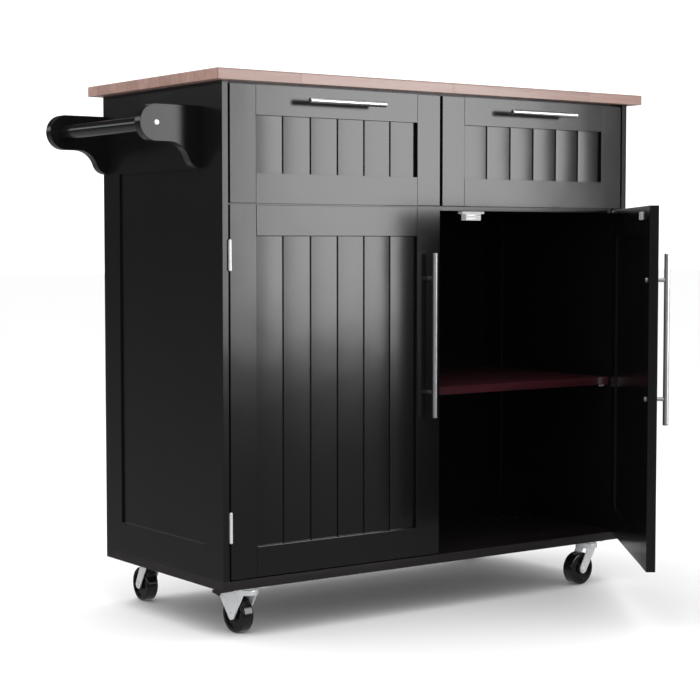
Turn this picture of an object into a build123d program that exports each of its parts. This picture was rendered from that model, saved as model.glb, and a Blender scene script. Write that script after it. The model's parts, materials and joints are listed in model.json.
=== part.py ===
from build123d import *
from math import cos, radians, sin
import os

# Kitchen island cart: a cabinet with two drawers and two doors under a wooden worktop. It rolls on
# four swivel casters, two of them with a foot brake, and carries a towel bar on its left side.
# Millimetres: X to the right, Y to the back, Z up. The origin is on the floor under the middle of
# the case. Both drawers and the left door are shut, and the right door stands open.

# ---- Driving dimensions -------------------------------------------------------------------------
# Case
case_width = 924.0
case_depth = 416.0
side_height = 835.0
side_thickness = 12.0
base_thickness = 16.0
top_thickness = 18.0
top_overhang = 20.5
top_edge_radius = 2.0
edge_ease = 0.6

# Framed sides and back
side_stile = 60.0
side_rail_low = 56.0
side_rail_margin = 1.5
side_panel_thickness = 4.0
side_panel_setback = 4.0
back_thickness = 12.0
back_rail = 60.0
back_stile = 60.0
back_panel_thickness = 4.0
back_panel_setback = 4.0
frame_tongue = 6.0

# Boards inside the case
deck_thickness = 15.0
deck_overlap = 6.0
divider_thickness = 15.0
stretcher_width = 60.0
stretcher_thickness = 16.0
shelf_level = 303.0
shelf_thickness = 15.0
shelf_setback = 30.0
shelf_gap = 1.5
board_gap = 1.0

# Screws that hold the worktop from below
top_screw_count = 4
top_screw_inset = 75.0
top_screw_radius = 2.0
top_screw_bite = 12.0
top_screw_head = 4.2
top_screw_head_height = 2.2

# Shelf pins
pin_radius = 2.5
pin_length = 16.0
pin_depth = 7.0
pin_inset = 18.0
pin_pitch = 40.0

# Framed fronts
front_thickness = 16.0
front_gap_side = 3.0
front_gap_middle = 5.0
front_gap_low = 2.0
front_gap_high = 4.0
front_gap_between = 3.0
front_stile = 52.0
door_rail = 52.0
drawer_rail = 50.0
drawer_front_height = 197.0
front_panel_thickness = 4.5
front_panel_setback = 8.5
slat_count = 6
slat_groove = 3.0
slat_lift = 2.2
slat_crown = 0.5
door_angle = 54.0

# Drawer boxes and their two-member slides
box_wall = 12.0
box_headroom = 55.0
box_back_gap = 38.0
box_lift = 16.0
box_floor = 4.0
box_floor_lift = 8.0
box_floor_tongue = 5.0
slide_space = 12.7
slide_height = 45.0
slide_member_height = 34.0
slide_sheet = 1.2
slide_end_gap = 5.0
slide_clearance = 1.0

# Bar handles
bar_diameter = 10.0
bar_ease = 1.0
post_diameter = 7.0
drawer_bar_length = 160.0
drawer_bar_posts = 96.0
drawer_bar_reach = 27.0
drawer_bar_drop = 24.0
door_bar_length = 296.0
door_bar_posts = 205.0
door_bar_reach = 19.0
door_bar_drop = 230.0
handle_screw_radius = 2.0
handle_screw_bite = 8.0
handle_screw_head = 4.0
handle_screw_head_height = 2.4

# Door hinges
hinge_height = 50.0
hinge_leaf_width = 14.0
hinge_leaf_sheet = 1.1
hinge_knuckle_radius = 2.5
hinge_knuckle_gap = 0.3
hinge_pin_radius = 1.1
hinge_pin_clearance = 0.06
hinge_pin_forward = 2.8
hinge_notch_clearance = 0.6
hinge_low = 64.0
hinge_high = 59.0
hinge_screw_radius = 1.5
hinge_screw_head = 2.7
hinge_screw_length = 8.0
hinge_screw_spread = 32.0

# Magnetic catches and the strike plates that they hold
catch_inset = 88.0
catch_flange_width = 51.0
catch_flange_thickness = 4.5
catch_body_width = 35.0
catch_body_height = 12.0
catch_depth = 14.0
strike_width = 38.0
strike_height = 14.0
strike_sheet = 1.2
strike_gap = 0.4

# Towel bar
bracket_thickness = 18.5
bracket_front = 67.5
bracket_drop = 38.0
bracket_nose_radius = 31.0
bracket_reach = 84.5
bracket_foot_width = 60.0
bracket_foot_drop = 42.5
bracket_foot_share = 0.62
bracket_ease = 1.5
rod_diameter = 25.0
rod_socket = 6.0
bolt_radius = 2.5
bolt_length = 34.0
bolt_head_radius = 4.7
bolt_head_height = 2.4
bolt_key_radius = 1.7
bolt_key_depth = 1.4
dowel_radius = 4.0
dowel_in_side = 8.0
dowel_in_bracket = 16.0
dowel_first = 18.0
dowel_spacing = 56.0

# Casters
caster_inset_side = 66.0
caster_inset_front = 34.0
caster_inset_back = 50.0
caster_trail = 24.0
wheel_diameter = 63.0
wheel_clearance = 7.5
wheel_width = 23.0
wheel_edge_radius = 4.0
wheel_dish = 3.0
wheel_rim = 8.0
hub_radius = 11.0
fork_gap = 27.0
hub_clearance = 0.5
axle_radius = 3.0
axle_clearance = 0.08
axle_head_radius = 5.2
axle_head_height = 2.4
fork_sheet = 2.2
fork_foot_radius = 8.5
crown_radius = 21.0
crown_height = 9.0
crown_gap = 0.5
race_radius = 16.0
race_height = 3.5
plate_sheet = 2.5
plate_width = 60.0
plate_depth = 50.0
plate_corner = 6.0
kingpin_radius = 4.0
kingpin_clearance = 0.08
kingpin_head_radius = 7.0
kingpin_head_height = 2.0
kingpin_head_gap = 0.3
caster_screw_across = 46.0
caster_screw_along = 36.0
caster_screw_radius = 2.0
caster_screw_length = 14.0
caster_screw_head = 4.2
caster_screw_head_height = 2.0
pedal_width = 21.0
pedal_pivot_gap = 7.1
pedal_pivot_angle = 47.6
pedal_reach = 34.0
pedal_hub_radius = 5.5
pedal_tip_radius = 3.0
pedal_tip_lift = 3.0
pedal_ear_radius = 5.0
pedal_pin_radius = 2.0
pedal_pin_clearance = 0.08
pin_head_height = 1.5
# Which way each caster trails, in degrees about Z from +X, and which casters have a brake.
caster_headings = {"front_left": 94.0, "front_right": 184.0, "back_left": 88.0, "back_right": 150.0}
braked = ("front_left", "back_right")

# ---- Levels and places that follow from them ----------------------------------------------------
half_width = case_width / 2
half_depth = case_depth / 2
inner_half = half_width - side_thickness
axle_level = wheel_diameter / 2
crown_bottom = wheel_diameter + wheel_clearance
crown_top = crown_bottom + crown_height
plate_bottom = crown_top + crown_gap + race_height
caster_height = plate_bottom + plate_sheet
hub_width = fork_gap - 2 * hub_clearance
pedal_pivot_out = (axle_level + pedal_pivot_gap) * cos(radians(pedal_pivot_angle))
pedal_pivot_level = axle_level + (axle_level + pedal_pivot_gap) * sin(radians(pedal_pivot_angle))
base_top = caster_height + base_thickness
case_top = base_top + side_height
front_face = -half_depth
front_back = front_face + front_thickness
inner_back = half_depth - back_thickness

front_width = inner_half - front_gap_side - front_gap_middle / 2
drawer_top = case_top - front_gap_high
drawer_bottom = drawer_top - drawer_front_height
door_top = drawer_bottom - front_gap_between
door_bottom = base_top + front_gap_low
door_height = door_top - door_bottom

deck_top = drawer_bottom + deck_overlap
deck_bottom = deck_top - deck_thickness
deck_front = front_back + board_gap
stretcher_bottom = case_top - stretcher_thickness
stretcher_starts = (deck_front, inner_back - stretcher_width)
top_screw_step = 2 * (inner_half - top_screw_inset) / (top_screw_count - 1)
top_screw_places = [
    (top_screw_inset - inner_half + number * top_screw_step, start + stretcher_width / 2, stretcher_bottom)
    for number in range(top_screw_count)
    for start in stretcher_starts
]
shelf_bottom = base_top + shelf_level - shelf_thickness
shelf_front = front_face + shelf_setback
box_bottom = deck_top + box_lift
box_top = drawer_top - box_headroom
box_height = box_top - box_bottom
box_depth = inner_back - front_back - box_back_gap
slide_length = box_depth - slide_end_gap
box_inner = divider_thickness / 2 + slide_space
box_outer = inner_half - slide_space
slide_level = box_bottom + box_height / 2

pin_axis_x = inner_half - front_gap_side / 2
pin_axis_y = front_face - hinge_pin_forward
hinge_levels = (
    door_bottom + hinge_low + hinge_height / 2,
    door_top - hinge_high - hinge_height / 2,
)
hinge_screw_y = front_face + hinge_leaf_width / 2
rod_level = case_top - bracket_drop - bracket_nose_radius
side_rail_high = bracket_drop + 2 * bracket_nose_radius + bracket_foot_drop + side_rail_margin
rod_x = -half_width - bracket_reach
bracket_fronts = {"front": front_face + bracket_front, "rear": half_depth - bracket_thickness}
dowel_levels = (
    case_top - bracket_drop - dowel_first,
    case_top - bracket_drop - dowel_first - dowel_spacing,
)

caster_x = half_width - caster_inset_side
caster_front_y = front_face + caster_inset_front
caster_back_y = half_depth - caster_inset_back
casters = {
    "front_left": (-caster_x, caster_front_y),
    "front_right": (caster_x, caster_front_y),
    "back_left": (-caster_x, caster_back_y),
    "back_right": (caster_x, caster_back_y),
}
hands = {"left": -1, "right": 1}

os.makedirs("parts", exist_ok=True)


# ---- Shared shapes ------------------------------------------------------------------------------
def keep(shape, name):
    """Labels a finished sub-part and writes it under its own name."""
    shape.label = name
    export_step(shape, f"parts/{name}.step")


def group(*pieces):
    """Several separate solids that share one node."""
    return Compound([solid for piece in pieces for solid in piece.solids()])


def board(low, high):
    """A plain board between its lowest and its highest corner."""
    with BuildPart() as piece:
        with BuildSketch(Plane.XY.offset(low[2])):
            with Locations(((low[0] + high[0]) / 2, (low[1] + high[1]) / 2)):
                Rectangle(high[0] - low[0], high[1] - low[1])
        extrude(amount=high[2] - low[2])
    return piece.part


def bar(start, direction, length, radius):
    """A plain round bar."""
    with BuildPart() as piece:
        with BuildSketch(Plane(origin=start, z_dir=direction)):
            Circle(radius)
        extrude(amount=length)
    return piece.part


def headed_screw(seat, direction, radius, length, head_radius, head_height):
    """A screw whose domed head stands on its seat, with the shank along direction."""
    with BuildPart() as piece:
        with BuildSketch(Plane(origin=seat, z_dir=direction)):
            Circle(radius)
        extrude(amount=length)
        with BuildSketch(Plane(origin=seat, z_dir=-Vector(*direction))):
            Circle(head_radius)
        extrude(amount=head_height)
        crown = piece.faces().filter_by(GeomType.PLANE).sort_by(Axis(seat, direction))[0]
        chamfer(crown.edges(), head_height / 2)
    return piece.part


def drilled(shape, places, direction, radius, depth):
    """The shape with a hole at each place, sunk along direction."""
    with BuildPart() as piece:
        add(shape)
        for place in places:
            with BuildSketch(Plane(origin=place, z_dir=direction)):
                Circle(radius)
            extrude(amount=depth, mode=Mode.SUBTRACT)
    return piece.part


def framed_panel(face, width, height, stile, rails, thickness, panel_thickness, setback, slats=0):
    """Stiles, rails and panel of one framed piece, whose outer face is drawn on the face plane.

    The stiles run the full height. Stub tenons on the rails and the edges of the panel sit in a
    groove along the inner edges of the frame. With slats, the panel has crowned slats with narrow
    grooves between them.
    """
    low, high = rails
    span = width - 2 * stile
    rise = height - low - high
    slot = face.offset(-setback)
    middle = (width / 2, low + rise / 2)
    with BuildPart() as stiles:
        with BuildSketch(face):
            with Locations((stile / 2, height / 2), (width - stile / 2, height / 2)):
                Rectangle(stile, height)
        extrude(amount=-thickness)
        chamfer(stiles.edges().filter_by(Axis.Z), edge_ease)
        with BuildSketch(slot):
            with Locations((width / 2, height / 2)):
                Rectangle(span + 2 * frame_tongue, height)
        extrude(amount=-panel_thickness, mode=Mode.SUBTRACT)
    with BuildPart() as crossings:
        with BuildSketch(face):
            with Locations((width / 2, low / 2)):
                Rectangle(span, low)
            with Locations((width / 2, height - high / 2)):
                Rectangle(span, high)
        extrude(amount=-thickness)
        with BuildSketch(slot):
            with Locations((width / 2, (low - frame_tongue) / 2)):
                Rectangle(span + 2 * frame_tongue, low - frame_tongue)
            with Locations((width / 2, height - (high - frame_tongue) / 2)):
                Rectangle(span + 2 * frame_tongue, high - frame_tongue)
        extrude(amount=-panel_thickness)
        with BuildSketch(slot):
            with Locations(middle):
                Rectangle(span + 2 * frame_tongue, rise + 2 * frame_tongue)
        extrude(amount=-panel_thickness, mode=Mode.SUBTRACT)
    with BuildPart() as panel:
        with BuildSketch(slot):
            with Locations(middle):
                Rectangle(span + 2 * frame_tongue, rise + 2 * frame_tongue)
        extrude(amount=-panel_thickness)
        foot = Plane(
            origin=face.from_local_coords((stile, low, -setback)), x_dir=face.x_dir, z_dir=-face.y_dir
        )
        for number in range(slats):
            start = number * span / slats + slat_groove / 2
            end = (number + 1) * span / slats - slat_groove / 2
            crest = slat_lift + slat_crown
            with BuildSketch(foot):
                with BuildLine():
                    Polyline((end, slat_lift), (end, 0), (start, 0), (start, slat_lift))
                    ThreePointArc((start, slat_lift), ((start + end) / 2, crest), (end, slat_lift))
                make_face()
            extrude(amount=-rise)
    return stiles.part, crossings.part, panel.part


# ---- Case ---------------------------------------------------------------------------------------
with BuildPart() as worktop:
    with BuildSketch(Plane.XY.offset(case_top)):
        Rectangle(case_width + 2 * top_overhang, case_depth + 2 * top_overhang)
    extrude(amount=top_thickness)
    fillet(worktop.edges().filter_by(Axis.Z), top_edge_radius)
    fillet(worktop.faces().sort_by(Axis.Z)[-1].edges(), top_edge_radius)
top_screw_length = stretcher_thickness + top_screw_bite
keep(
    drilled(worktop.part, top_screw_places, (0, 0, 1), top_screw_radius, top_screw_length), "worktop"
)
top_screws = [
    headed_screw(
        place, (0, 0, 1), top_screw_radius, top_screw_length, top_screw_head, top_screw_head_height
    )
    for place in top_screw_places
]
keep(group(*top_screws), "worktop_screws")

with BuildPart() as base_board:
    with BuildSketch(Plane.XY.offset(caster_height)):
        Rectangle(case_width, case_depth)
    extrude(amount=base_thickness)
    chamfer(base_board.edges().filter_by(Axis.Z), edge_ease)
    for pivot in casters.values():
        with BuildSketch(Plane.XY.offset(caster_height)):
            with Locations(pivot):
                with GridLocations(caster_screw_across, caster_screw_along, 2, 2):
                    Circle(caster_screw_radius)
        extrude(amount=caster_screw_length - plate_sheet, mode=Mode.SUBTRACT)
keep(base_board.part, "base_board")

pin_rows = (shelf_front + pin_inset, inner_back - pin_inset)
pin_level = shelf_bottom - pin_radius
pin_levels = (pin_level - pin_pitch, pin_level, pin_level + pin_pitch)
hinge_screw_levels = [
    level + step for level in hinge_levels for step in (-hinge_screw_spread / 2, hinge_screw_spread / 2)
]
bracket_middles = [front + bracket_thickness / 2 for front in bracket_fronts.values()]

for side, hand in hands.items():
    outside = Plane(
        origin=(hand * half_width, -hand * half_depth, base_top), x_dir=(0, hand, 0), z_dir=(hand, 0, 0)
    )
    stiles, rails, panel = framed_panel(
        outside,
        case_depth,
        side_height,
        side_stile,
        (side_rail_low, side_rail_high),
        side_thickness,
        side_panel_thickness,
        side_panel_setback,
    )
    into = (hand, 0, 0)
    inner = hand * inner_half
    pin_places = [(inner, y, z) for y in pin_rows for z in pin_levels]
    screw_places = [(inner, hinge_screw_y, z) for z in hinge_screw_levels]
    stiles = drilled(stiles, pin_places, into, pin_radius, pin_depth)
    stiles = drilled(stiles, screw_places, into, hinge_screw_radius, hinge_screw_length - hinge_leaf_sheet)
    if side == "left":
        front_dowels, rear_dowels = [[(-half_width, y, z) for z in dowel_levels] for y in bracket_middles]
        rails = drilled(rails, front_dowels, (1, 0, 0), dowel_radius, dowel_in_side)
        stiles = drilled(stiles, rear_dowels, (1, 0, 0), dowel_radius, dowel_in_side)
    keep(group(stiles, rails), f"{side}_side_frame")
    keep(panel, f"{side}_side_panel")

back_width = 2 * inner_half
back_rise = side_height - 2 * back_rail
back_opening = (back_width - back_stile) / 2
back_outside = Plane(origin=(inner_half, half_depth, base_top), x_dir=(-1, 0, 0), z_dir=(0, 1, 0))
back_slot = back_outside.offset(-back_panel_setback)
back_middle = (back_width / 2, side_height / 2)
with BuildPart() as back_rails:
    with BuildSketch(back_outside):
        with Locations((back_width / 2, back_rail / 2), (back_width / 2, side_height - back_rail / 2)):
            Rectangle(back_width, back_rail)
    extrude(amount=-back_thickness)
    with BuildSketch(back_slot):
        with Locations(back_middle):
            Rectangle(back_width, back_rise + 2 * frame_tongue)
    extrude(amount=-back_panel_thickness, mode=Mode.SUBTRACT)
with BuildPart() as back_upright:
    with BuildSketch(back_outside):
        with Locations(back_middle):
            Rectangle(back_stile, back_rise)
    extrude(amount=-back_thickness)
    with BuildSketch(back_slot):
        with Locations(back_middle):
            Rectangle(back_stile, back_rise)
    extrude(amount=-back_panel_thickness, mode=Mode.SUBTRACT)
    with BuildSketch(back_slot):
        with Locations(back_middle):
            Rectangle(back_stile - 2 * frame_tongue, back_rise + 2 * frame_tongue)
    extrude(amount=-back_panel_thickness)
with BuildPart() as back_panels:
    with BuildSketch(back_slot):
        reach = back_opening + frame_tongue
        with Locations((reach / 2, side_height / 2), (back_width - reach / 2, side_height / 2)):
            Rectangle(reach, back_rise + 2 * frame_tongue)
    extrude(amount=-back_panel_thickness)
keep(group(back_rails.part, back_upright.part), "back_frame")
keep(back_panels.part, "back_panels")

stretchers = [
    board((-inner_half, start, stretcher_bottom), (inner_half, start + stretcher_width, case_top))
    for start in stretcher_starts
]
keep(
    drilled(group(*stretchers), top_screw_places, (0, 0, 1), top_screw_radius, stretcher_thickness),
    "top_stretchers",
)
keep(
    board((-inner_half, deck_front, deck_bottom), (inner_half, inner_back, deck_top)), "drawer_deck"
)
keep(
    board(
        (-divider_thickness / 2, deck_front, deck_top),
        (divider_thickness / 2, inner_back, stretcher_bottom),
    ),
    "drawer_divider",
)

with BuildPart() as shelf:
    add(
        board(
            (-inner_half + shelf_gap, shelf_front, shelf_bottom),
            (inner_half - shelf_gap, inner_back - shelf_gap, shelf_bottom + shelf_thickness),
        )
    )
    chamfer(shelf.faces().sort_by(Axis.Y)[0].edges().filter_by(Axis.X), edge_ease)
keep(shelf.part, "shelf")
shelf_pins = [
    bar((hand * (inner_half + pin_depth), y, pin_level), (-hand, 0, 0), pin_length, pin_radius)
    for hand in hands.values()
    for y in pin_rows
]
keep(group(*shelf_pins), "shelf_pins")

# ---- Magnetic catches ---------------------------------------------------------------------------
catch_x = front_gap_middle / 2 + catch_inset
catch_front = front_back + strike_sheet + strike_gap
catches = []
for hand in hands.values():
    with BuildPart() as catch:
        with BuildSketch(Plane.XY.offset(deck_bottom)):
            with Locations((hand * catch_x, catch_front + catch_depth / 2)):
                Rectangle(catch_flange_width, catch_depth)
        extrude(amount=-catch_flange_thickness)
        with BuildSketch(Plane.XY.offset(deck_bottom - catch_flange_thickness)):
            with Locations((hand * catch_x, catch_front + catch_depth / 2)):
                Rectangle(catch_body_width, catch_depth)
        extrude(amount=-catch_body_height)
        chamfer(catch.faces().sort_by(Axis.Z)[0].edges(), edge_ease)
    catches.append(catch.part)
keep(group(*catches), "magnetic_catches")

# ---- Towel bar ----------------------------------------------------------------------------------
nose_x = rod_x
bracket_top = case_top - bracket_drop
neck_level = rod_level - bracket_nose_radius
foot_level = neck_level - bracket_foot_drop
turn_x = -half_width - bracket_foot_width * (1 - bracket_foot_share)
turn_level = neck_level - bracket_foot_drop * bracket_foot_share
socket_starts = {
    "front": bracket_fronts["front"] + bracket_thickness - rod_socket,
    "rear": bracket_fronts["rear"] + rod_socket,
}
outer_faces = {"front": bracket_fronts["front"], "rear": bracket_fronts["rear"] + bracket_thickness}
inward = {"front": 1, "rear": -1}
bolts = []
for place, start in bracket_fronts.items():
    with BuildPart() as bracket:
        with BuildSketch(Plane(origin=(0, start, 0), x_dir=(1, 0, 0), z_dir=(0, -1, 0))):
            with BuildLine():
                Line((-half_width, foot_level), (-half_width, bracket_top))
                Line((-half_width, bracket_top), (nose_x, bracket_top))
                ThreePointArc(
                    (nose_x, bracket_top),
                    (nose_x - bracket_nose_radius, rod_level),
                    (nose_x, neck_level),
                )
                Line((nose_x, neck_level), (-half_width - bracket_foot_width, neck_level))
                TangentArc(
                    (-half_width - bracket_foot_width, neck_level), (turn_x, turn_level), tangent=(1, 0)
                )
                TangentArc(
                    (-half_width, foot_level), (turn_x, turn_level), tangent=(-1, 0)
                )
            make_face()
        extrude(amount=-bracket_thickness)
        outline = bracket.faces().filter_by(Axis.Y)
        rounded = outline.edges().filter_by(lambda edge: edge.center().X < -half_width - bracket_ease)
        chamfer(rounded, bracket_ease / 2)
        socket = Plane(origin=(rod_x, socket_starts[place], rod_level), z_dir=(0, inward[place], 0))
        with BuildSketch(socket):
            Circle(rod_diameter / 2)
        extrude(amount=rod_socket, mode=Mode.SUBTRACT)
        mouth = Plane(origin=(rod_x, outer_faces[place], rod_level), z_dir=(0, inward[place], 0))
        with BuildSketch(mouth):
            Circle(bolt_radius)
        extrude(amount=bracket_thickness, mode=Mode.SUBTRACT)
    dowel_holes = [(-half_width, start + bracket_thickness / 2, level) for level in dowel_levels]
    keep(
        drilled(bracket.part, dowel_holes, (-1, 0, 0), dowel_radius, dowel_in_bracket),
        f"towel_bracket_{place}",
    )
    bolt = headed_screw(
        (rod_x, outer_faces[place], rod_level),
        (0, inward[place], 0),
        bolt_radius,
        bolt_length,
        bolt_head_radius,
        bolt_head_height,
    )
    key_mouth = (rod_x, outer_faces[place] - inward[place] * bolt_head_height, rod_level)
    bolts.append(drilled(bolt, [key_mouth], (0, inward[place], 0), bolt_key_radius, bolt_key_depth))
keep(group(*bolts), "towel_rod_bolts")

rod_start = socket_starts["front"]
rod_length = socket_starts["rear"] - rod_start
towel_rod = bar((rod_x, rod_start, rod_level), (0, 1, 0), rod_length, rod_diameter / 2)
bolt_bite = bolt_length - bracket_thickness + rod_socket
towel_rod = drilled(towel_rod, [(rod_x, rod_start, rod_level)], (0, 1, 0), bolt_radius, bolt_bite)
towel_rod = drilled(
    towel_rod, [(rod_x, rod_start + rod_length, rod_level)], (0, -1, 0), bolt_radius, bolt_bite
)
keep(towel_rod, "towel_rod")
dowels = [
    bar((-half_width + dowel_in_side, y, z), (-1, 0, 0), dowel_in_side + dowel_in_bracket, dowel_radius)
    for y in bracket_middles
    for z in dowel_levels
]
keep(group(*dowels), "towel_bracket_dowels")


# ---- Fronts, their handles and hinges -----------------------------------------------------------
def front_plane(hand, bottom):
    """The outer face of one front, from its lower left corner."""
    left = front_gap_middle / 2 if hand > 0 else -front_gap_middle / 2 - front_width
    return Plane(origin=(left, front_face, bottom), x_dir=(1, 0, 0), z_dir=(0, -1, 0))


def bar_handle(centre, direction, length, posts, reach):
    """A round bar on two posts, and the two screws that hold it from inside the front."""
    step = Vector(*direction)
    middle = Vector(centre[0], front_face - reach, centre[1])
    with BuildPart() as grip:
        with BuildSketch(Plane(origin=middle - step * (length / 2), z_dir=step)):
            Circle(bar_diameter / 2)
        extrude(amount=length)
        chamfer(grip.edges().filter_by(GeomType.CIRCLE), bar_ease)
    pieces = [grip.part]
    for side in (-1, 1):
        top = middle + step * (side * posts / 2)
        foot = (top.X, front_face, top.Z)
        with BuildPart() as post:
            with BuildSketch(Plane(origin=foot, z_dir=(0, -1, 0))):
                Circle(post_diameter / 2)
            extrude(amount=reach)
            with BuildSketch(Plane(origin=middle - step * (length / 2), z_dir=step)):
                Circle(bar_diameter / 2)
            extrude(amount=length, mode=Mode.SUBTRACT)
            with BuildSketch(Plane(origin=foot, z_dir=(0, -1, 0))):
                Circle(handle_screw_radius)
            extrude(amount=handle_screw_bite, mode=Mode.SUBTRACT)
        screw = headed_screw(
            (top.X, front_back, top.Z),
            (0, -1, 0),
            handle_screw_radius,
            front_thickness + handle_screw_bite,
            handle_screw_head,
            handle_screw_head_height,
        )
        pieces += [post.part, screw]
    return group(*pieces)


def hinge_side(hand, on_door):
    """One leaf of each hinge with its knuckles and screws.

    The case leaf has the outer two knuckles and the fixed pin. The door leaf has the middle one.
    """
    third = hinge_height / 3
    wood = hand * (inner_half - front_gap_side) if on_door else hand * inner_half
    towards = hand if on_door else -hand
    if on_door:
        knuckles = [(-third / 2 + hinge_knuckle_gap, third / 2 - hinge_knuckle_gap)]
        notches = [(-hinge_height / 2, knuckles[0][0]), (knuckles[0][1], hinge_height / 2)]
    else:
        knuckles = [(-hinge_height / 2, -third / 2), (third / 2, hinge_height / 2)]
        notches = [(-third / 2, third / 2)]
    axis = (hand * pin_axis_x, pin_axis_y)
    sheet_x = wood + towards * hinge_leaf_sheet / 2
    leaf_back = front_face + hinge_leaf_width
    pieces = []
    for level in hinge_levels:
        with BuildPart() as leaf:
            with BuildSketch(Plane.XY.offset(level - hinge_height / 2)):
                with Locations((sheet_x, (pin_axis_y + leaf_back) / 2)):
                    Rectangle(hinge_leaf_sheet, leaf_back - pin_axis_y)
            extrude(amount=hinge_height)
            for low, high in notches:
                with BuildSketch(Plane.XY.offset(level + low)):
                    with Locations(axis):
                        Circle(hinge_knuckle_radius + hinge_notch_clearance)
                extrude(amount=high - low, mode=Mode.SUBTRACT)
            for low, high in knuckles:
                with BuildSketch(Plane.XY.offset(level + low)):
                    with Locations(axis):
                        Circle(hinge_knuckle_radius)
                extrude(amount=high - low)
            if on_door:
                with BuildSketch(Plane.XY.offset(level - hinge_height / 2)):
                    with Locations(axis):
                        Circle(hinge_pin_radius + hinge_pin_clearance)
                extrude(amount=hinge_height, mode=Mode.SUBTRACT)
            else:
                with BuildSketch(Plane.XY.offset(level - hinge_height / 2)):
                    with Locations(axis):
                        Circle(hinge_pin_radius)
                extrude(amount=hinge_height)
            for step in (-hinge_screw_spread / 2, hinge_screw_spread / 2):
                seat = (wood + towards * hinge_leaf_sheet, hinge_screw_y, level + step)
                with Locations(Plane(origin=seat, z_dir=(towards, 0, 0))):
                    CounterSinkHole(hinge_screw_radius, hinge_screw_head, 2 * hinge_leaf_sheet)
        pieces.append(leaf.part)
        for step in (-hinge_screw_spread / 2, hinge_screw_spread / 2):
            seat = (wood + towards * hinge_leaf_sheet, hinge_screw_y, level + step)
            with BuildPart() as screw:
                with BuildSketch(Plane(origin=seat, z_dir=(-towards, 0, 0))):
                    Circle(hinge_screw_radius)
                extrude(amount=hinge_screw_length)
            pieces.append(screw.part)
    return group(*pieces)


def make_front(name, hand, bottom, height, rail, handle, handle_holes, hinged):
    """A door or drawer front: stiles, rails, slatted panel and handle, as named shapes."""
    stiles, rails, panel = framed_panel(
        front_plane(hand, bottom),
        front_width,
        height,
        front_stile,
        (rail, rail),
        front_thickness,
        front_panel_thickness,
        front_panel_setback,
        slat_count,
    )
    holes = [(x, front_back, z) for x, z in handle_holes]
    if hinged:
        stiles = drilled(stiles, holes, (0, -1, 0), handle_screw_radius, front_thickness)
        edge = hand * (inner_half - front_gap_side)
        edge_holes = [(edge, hinge_screw_y, z) for z in hinge_screw_levels]
        depth = hinge_screw_length - hinge_leaf_sheet
        stiles = drilled(stiles, edge_holes, (-hand, 0, 0), hinge_screw_radius, depth)
    else:
        rails = drilled(rails, holes, (0, -1, 0), handle_screw_radius, front_thickness)
    return {
        f"{name}_stiles": stiles,
        f"{name}_rails": rails,
        f"{name}_panel": panel,
        f"{name}_handle": handle,
    }


case_leaves = []
for side, hand in hands.items():
    handle_x = hand * (front_gap_middle / 2 + front_stile / 2)
    handle_level = door_top - door_bar_drop
    handle = bar_handle(
        (handle_x, handle_level), (0, 0, 1), door_bar_length, door_bar_posts, door_bar_reach
    )
    holes = [(handle_x, handle_level + step * door_bar_posts / 2) for step in (-1, 1)]
    door = make_front(
        f"door_{side}", hand, door_bottom, door_height, door_rail, handle, holes, hinged=True
    )
    door[f"door_{side}_hinge_leaves"] = hinge_side(hand, on_door=True)
    strike_middle = deck_bottom - catch_flange_thickness - catch_body_height / 2
    door[f"door_{side}_strike_plate"] = board(
        (hand * catch_x - strike_width / 2, front_back, strike_middle - strike_height / 2),
        (hand * catch_x + strike_width / 2, front_back + strike_sheet, strike_middle + strike_height / 2),
    )
    case_leaves.append(hinge_side(hand, on_door=False))
    pin_line = Axis((hand * pin_axis_x, pin_axis_y, 0), (0, 0, 1))
    for name, shape in door.items():
        keep(shape.rotate(pin_line, door_angle) if side == "right" else shape, name)
keep(group(*case_leaves), "hinge_case_leaves")


# ---- Drawers and their slides -------------------------------------------------------------------
def slide_channel(hand_out, wall_x, height, depth, start):
    """A channel rail on a wall, open towards hand_out."""
    with BuildPart() as channel:
        with BuildSketch(Plane(origin=(0, start, slide_level), x_dir=(1, 0, 0), z_dir=(0, -1, 0))):
            with Locations((wall_x + hand_out * depth / 2, 0)):
                Rectangle(depth, height)
            with Locations((wall_x + hand_out * (depth / 2 + slide_sheet), 0)):
                Rectangle(depth, height - 2 * slide_sheet, mode=Mode.SUBTRACT)
        extrude(amount=-slide_length)
    return channel.part


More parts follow.
